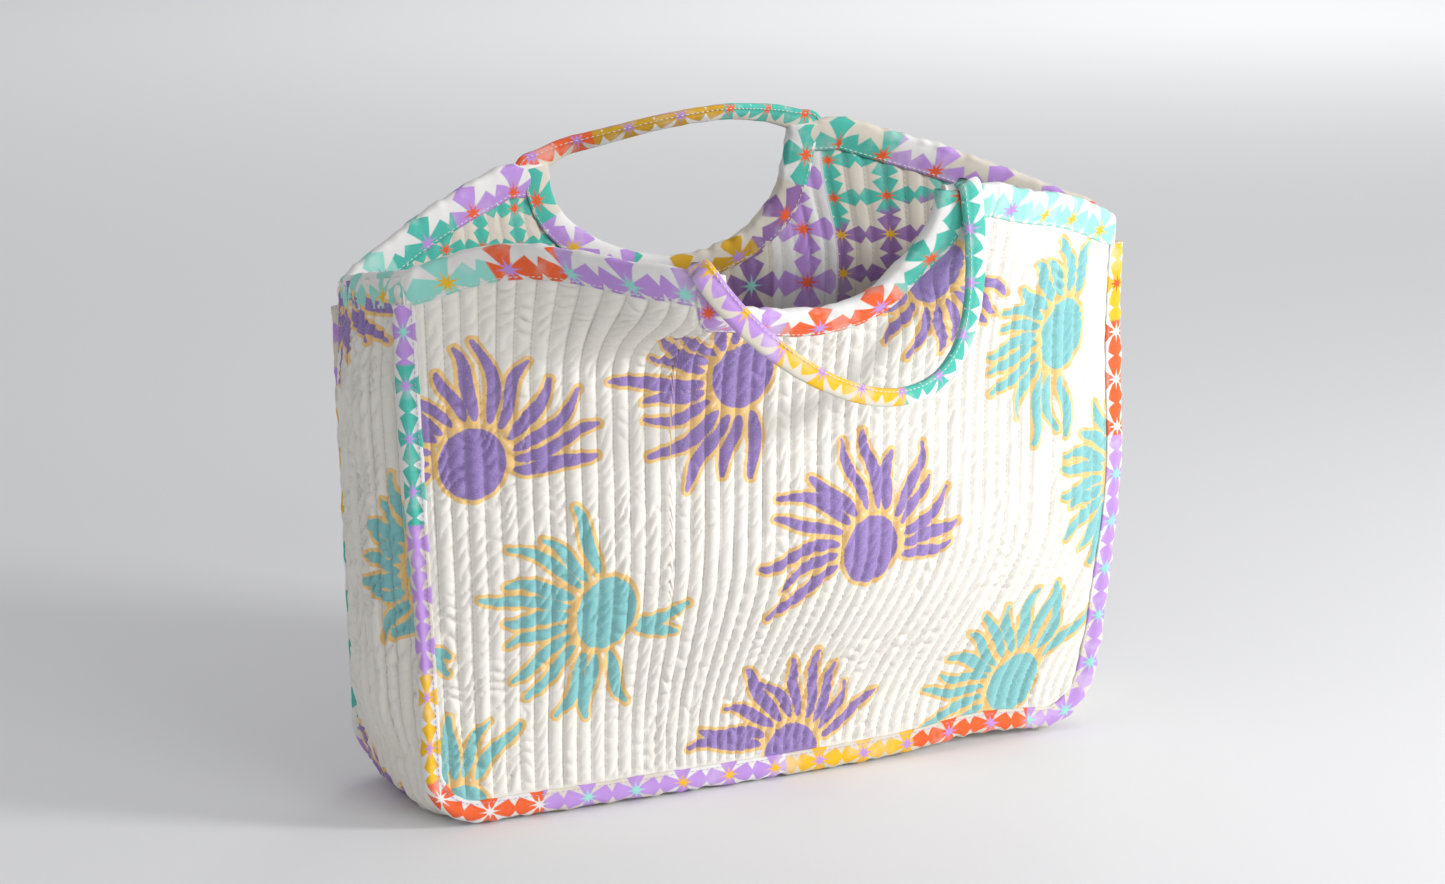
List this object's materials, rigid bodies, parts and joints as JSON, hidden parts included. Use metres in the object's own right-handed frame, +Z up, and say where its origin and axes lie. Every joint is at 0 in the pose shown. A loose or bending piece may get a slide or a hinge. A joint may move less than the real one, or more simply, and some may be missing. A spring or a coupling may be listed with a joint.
{
  "type": "knitting bag",
  "caption": "Open quilted cotton tote with eared panels, a gusset, print-taped seams and edges, and a short stuffed strap handle on each side.",
  "frame": {"origin": "on the ground plane, in the middle of the flat bottom that the bag stands on", "axes": "+Z up, +X along the bag's width towards the right seen from the front, the front panel faces -Y"},
  "size_m": [0.472, 0.2381, 0.3742],
  "materials": {
    "quilt_print": "quilted cotton voile, matt, block-printed with lilac and turquoise bursts outlined in amber",
    "wadding": "cotton wadding, matt, hidden inside the quilt",
    "lining_print": "quilted cotton, matt, printed with small stars in lilac, turquoise, yellow and orange",
    "tape_print": "folded cotton tape, matt, printed with small stars, topstitched",
    "strap_print": "folded cotton strap, matt, printed with small stars, topstitched",
    "cotton_core": "cotton wadding, matt, hidden inside the strap"
  },
  "bodies": {
    "bag": {"front_panel_outer": "quilt_print", "front_panel_wadding": "wadding", "front_panel_lining": "lining_print", "back_panel_outer": "quilt_print", "back_panel_wadding": "wadding", "back_panel_lining": "lining_print", "gusset_outer": "quilt_print", "gusset_wadding": "wadding", "gusset_lining": "lining_print", "front_seam_tape_left": "tape_print", "front_seam_tape_bottom": "tape_print", "front_seam_tape_right": "tape_print", "back_seam_tape_left": "tape_print", "back_seam_tape_bottom": "tape_print", "back_seam_tape_right": "tape_print", "left_mouth_tape": "tape_print", "right_mouth_tape": "tape_print", "front_scoop_tape": "tape_print", "back_scoop_tape": "tape_print"},
    "front_handle": {"front_handle_cover": "strap_print", "front_handle_core": "cotton_core"},
    "back_handle": {"back_handle_cover": "strap_print", "back_handle_core": "cotton_core"}
  },
  "joints": [
    {"name": "front_handle_swing", "type": "hinge", "parent": "bag", "child": "front_handle", "pos_m": [-0.00669, -0.13668, 0.32966], "axis": [-0.967, -0.2026, -0.1543], "range_deg": [0, 175]},
    {"name": "back_handle_swing", "type": "hinge", "parent": "bag", "child": "back_handle", "pos_m": [0.00189, 0.0719, 0.35847], "axis": [-0.9975, 0.019, -0.0682], "range_deg": [-12, 225]}
  ]
}
